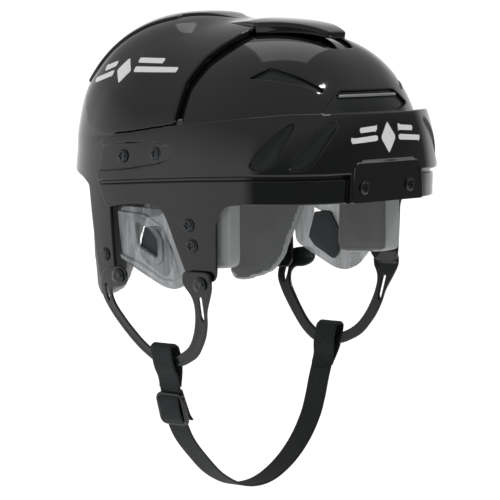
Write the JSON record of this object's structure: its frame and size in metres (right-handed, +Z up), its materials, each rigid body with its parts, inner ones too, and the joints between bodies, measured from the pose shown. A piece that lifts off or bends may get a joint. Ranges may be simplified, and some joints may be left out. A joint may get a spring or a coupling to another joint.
{
  "type": "ice hockey helmet",
  "caption": "Glossy black two-piece adjustable ice hockey helmet with clear ear guards, grey foam liner, ear loops and chin strap. It has no cage.",
  "frame": {"origin": "middle of the head opening at the height of the brow edge, midway between the sides", "axes": "+Z up to the crown, -Y the way the wearer faces, +X the wearer's left"},
  "size_m": [0.2226, 0.2561, 0.3458],
  "materials": {
    "gloss_black": "high-gloss moulded shell",
    "clear_plastic": "clear moulded polycarbonate",
    "grey_foam": "closed-cell foam with a brushed fabric face",
    "charcoal_foam": "closed-cell foam, charcoal face",
    "dark_steel": "black-coated screw",
    "plain_steel": "plain nut",
    "black_plastic": "semi-gloss moulded plastic",
    "webbing": "woven polyester webbing"
  },
  "bodies": {
    "front": {"front_shell": "gloss_black", "forehead_pad": "grey_foam", "ear_guard_left": "clear_plastic", "ear_pad_left": "charcoal_foam", "temple_pad_left": "grey_foam", "crown_pad_front_left": "grey_foam", "ear_loop_left": "black_plastic", "loop_snap_left_front": "black_plastic", "front_screw_left": "dark_steel", "front_nut_left": "plain_steel", "tab_screw_upper_left": "dark_steel", "tab_nut_upper_left": "plain_steel", "tab_screw_lower_left": "dark_steel", "tab_nut_lower_left": "plain_steel", "adjust_screw_rear_left": "dark_steel", "adjust_nut_rear_left": "plain_steel", "adjust_screw_front_left": "dark_steel", "adjust_nut_front_left": "plain_steel", "ear_guard_right": "clear_plastic", "ear_pad_right": "charcoal_foam", "temple_pad_right": "grey_foam", "crown_pad_front_right": "grey_foam", "ear_loop_right": "black_plastic", "loop_snap_right_front": "black_plastic", "front_screw_right": "dark_steel", "front_nut_right": "plain_steel", "tab_screw_upper_right": "dark_steel", "tab_nut_upper_right": "plain_steel", "tab_screw_lower_right": "dark_steel", "tab_nut_lower_right": "plain_steel", "adjust_screw_rear_right": "dark_steel", "adjust_nut_rear_right": "plain_steel", "adjust_screw_front_right": "dark_steel", "adjust_nut_front_right": "plain_steel"},
    "rear": {"rear_shell": "gloss_black", "occipital_pad": "grey_foam", "crown_pad_rear": "grey_foam", "rear_side_pad_left": "grey_foam", "loop_snap_left_rear": "black_plastic", "tail_screw_left": "dark_steel", "tail_nut_left": "plain_steel", "rear_side_pad_right": "grey_foam", "loop_snap_right_rear": "black_plastic", "tail_screw_right": "dark_steel", "tail_nut_right": "plain_steel"},
    "chin": {"chin_strap": "webbing", "slide_buckle": "black_plastic"}
  },
  "joints": [
    {"name": "rear_slide", "type": "slide", "parent": "front", "child": "rear", "axis": [0, 1, 0], "range_m": [0, 0.01], "deforming": ["ear_loop_left", "ear_loop_right"]},
    {"name": "chin_strap_swing", "type": "hinge", "parent": "front", "child": "chin", "pos_m": [0, -0.005, -0.114], "axis": [1, 0, 0], "range_deg": [-15, 20], "deforming": ["ear_loop_left", "ear_loop_right"]}
  ]
}
